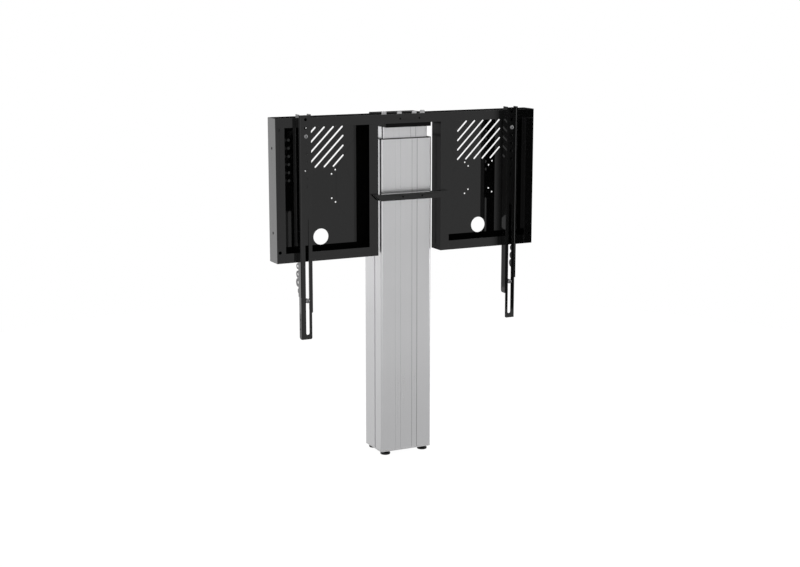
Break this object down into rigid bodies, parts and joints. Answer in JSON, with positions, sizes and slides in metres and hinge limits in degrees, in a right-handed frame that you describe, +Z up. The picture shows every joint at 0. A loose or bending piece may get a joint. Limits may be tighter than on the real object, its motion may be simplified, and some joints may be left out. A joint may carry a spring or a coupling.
{
  "type": "motorized display stand",
  "caption": "Motorized lifting column with a wide sheet-steel frame of two open boxes, vented back panels, a crossbar and two hanging slotted display arms.",
  "frame": {"origin": "on the floor under the middle of the outer column, midway between the four feet", "axes": "+X to the right of someone who looks at the front, +Y to the back, away from the display, +Z up"},
  "size_m": [0.888, 0.1756, 1.103],
  "materials": {
    "silver_extrusion": "satin anodised",
    "base_metal": "satin",
    "steel": "machined",
    "zinc": "bright zinc",
    "foot_black": "black oxide",
    "cap_black": "fine grain",
    "glide_white": "smooth",
    "gearbox_metal": "die cast",
    "motor_metal": "satin black",
    "brass": "machined",
    "gloss_black": "gloss powder coat",
    "arm_black": "satin powder coat"
  },
  "bodies": {
    "stand": {"base_plate": "base_metal", "base_screws": "steel", "outer_column": "silver_extrusion", "column_cap": "cap_black", "upper_glides": "glide_white", "motor_carrier": "steel", "carrier_posts": "steel", "gearbox": "gearbox_metal", "motor": "motor_metal", "control_box": "cap_black", "screw_bearing": "steel", "cable_grommet": "cap_black"},
    "spindle": {"lead_screw": "steel"},
    "foot_front_left": {"foot_front_left": "foot_black"},
    "foot_front_right": {"foot_front_right": "foot_black"},
    "foot_rear_left": {"foot_rear_left": "foot_black"},
    "foot_rear_right": {"foot_rear_right": "foot_black"},
    "lift": {"inner_column": "silver_extrusion", "lower_glides": "glide_white", "nut_plate": "steel", "nut_plate_screws": "steel", "lead_nut": "brass", "head_plate": "gloss_black", "head_screws": "steel", "head_bracket": "gloss_black", "frame_bolts": "zinc", "top_rail": "gloss_black", "outer_post_left": "gloss_black", "outer_post_right": "gloss_black", "inner_post_left": "gloss_black", "inner_post_right": "gloss_black", "sill_left": "gloss_black", "sill_right": "gloss_black", "back_panel_left": "gloss_black", "back_panel_right": "gloss_black", "crossbar": "gloss_black"},
    "left_arm": {"arm_rail_left": "arm_black", "arm_hook_left": "arm_black", "arm_jaw_left": "arm_black", "arm_side_plate_left": "arm_black", "arm_toothed_plate_left": "arm_black", "arm_screws_left": "zinc"},
    "right_arm": {"arm_rail_right": "arm_black", "arm_hook_right": "arm_black", "arm_jaw_right": "arm_black", "arm_side_plate_right": "arm_black", "arm_toothed_plate_right": "arm_black", "arm_screws_right": "zinc"}
  },
  "joints": [
    {"name": "column_lift", "type": "slide", "parent": "stand", "child": "lift", "axis": [0, 0, 1], "range_m": [0, 0.5]},
    {"name": "spindle_turn", "type": "hinge", "parent": "stand", "child": "spindle", "pos_m": [0, 0, 0.2], "axis": [0, 0, 1], "range_deg": [-18000, 0]},
    {"name": "left_arm_slide", "type": "slide", "parent": "lift", "child": "left_arm", "axis": [1, 0, 0], "range_m": [-0.0425, 0.0575]},
    {"name": "right_arm_slide", "type": "slide", "parent": "lift", "child": "right_arm", "axis": [1, 0, 0], "range_m": [-0.048, 0.052]},
    {"name": "foot_front_left_height", "type": "slide", "parent": "stand", "child": "foot_front_left", "axis": [0, 0, 1], "range_m": [-0.01, 0]},
    {"name": "foot_front_right_height", "type": "slide", "parent": "stand", "child": "foot_front_right", "axis": [0, 0, 1], "range_m": [-0.01, 0]},
    {"name": "foot_rear_left_height", "type": "slide", "parent": "stand", "child": "foot_rear_left", "axis": [0, 0, 1], "range_m": [-0.01, 0]},
    {"name": "foot_rear_right_height", "type": "slide", "parent": "stand", "child": "foot_rear_right", "axis": [0, 0, 1], "range_m": [-0.01, 0]}
  ],
  "couplings": [
    {"joint": "spindle_turn", "follows": "column_lift", "rad_per_m": -628.32}
  ]
}
